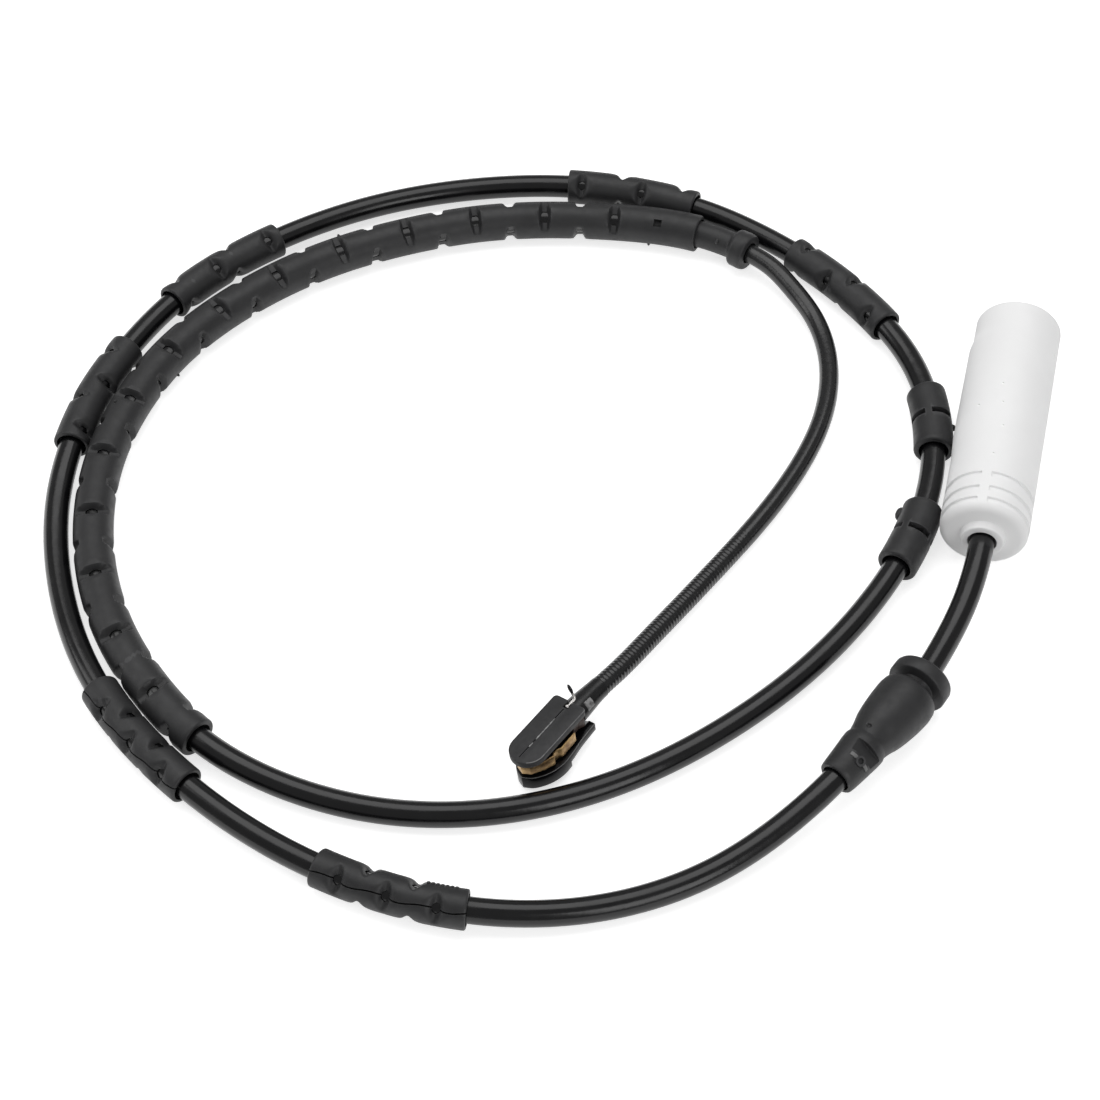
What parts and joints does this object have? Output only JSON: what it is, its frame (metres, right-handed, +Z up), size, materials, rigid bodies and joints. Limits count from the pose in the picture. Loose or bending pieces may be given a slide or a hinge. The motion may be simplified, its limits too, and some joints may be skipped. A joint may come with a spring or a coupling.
{
  "type": "brake pad wear sensor",
  "caption": "Brake pad wear sensor with a round plug, a coiled cable carrying notched clip sleeves, a body grommet, a long notched guard sleeve, and a thin lead to a slotted sensor head.",
  "frame": {"origin": "on the floor, in the middle of the moulded pieces' box", "axes": "+Z up from the floor the cable lies on, +Y along the plug towards its mouth, +X towards the side where the plug lies"},
  "size_m": [0.198, 0.1964, 0.0178],
  "materials": {
    "plug_white": "white moulded plastic, slight sheen",
    "carrier_grey": "grey moulded plastic",
    "seal_silicone": "soft silicone",
    "brass": "bright stamped strip",
    "core_insulation": "wire insulation",
    "cable_jacket": "glossy black jacket",
    "sleeve_rubber": "matte charcoal rubber",
    "tinned_copper": "tinned wire",
    "lead_jacket": "dark jacket, half matte",
    "head_plastic": "black moulded plastic"
  },
  "bodies": {
    "root": {"connector_housing": "plug_white", "contact_carrier": "carrier_grey", "cable_seal": "seal_silicone", "terminal_1": "brass", "terminal_2": "brass", "core_wire_1": "core_insulation", "core_wire_2": "core_insulation", "main_cable": "cable_jacket", "body_grommet": "sleeve_rubber", "clip_sleeve_1": "sleeve_rubber", "clip_sleeve_2": "sleeve_rubber", "clip_sleeve_3": "sleeve_rubber", "clip_sleeve_4": "sleeve_rubber", "clip_sleeve_5": "sleeve_rubber", "clip_sleeve_6": "sleeve_rubber", "short_sleeve_1": "sleeve_rubber", "short_sleeve_2": "sleeve_rubber", "long_sleeve": "sleeve_rubber", "end_relief": "sleeve_rubber", "splice_1": "tinned_copper", "splice_2": "tinned_copper", "sensor_lead": "lead_jacket", "lead_boot": "lead_jacket", "sensor_head": "head_plastic", "retaining_spring": "brass", "sense_wire": "tinned_copper"}
  },
  "joints": []
}
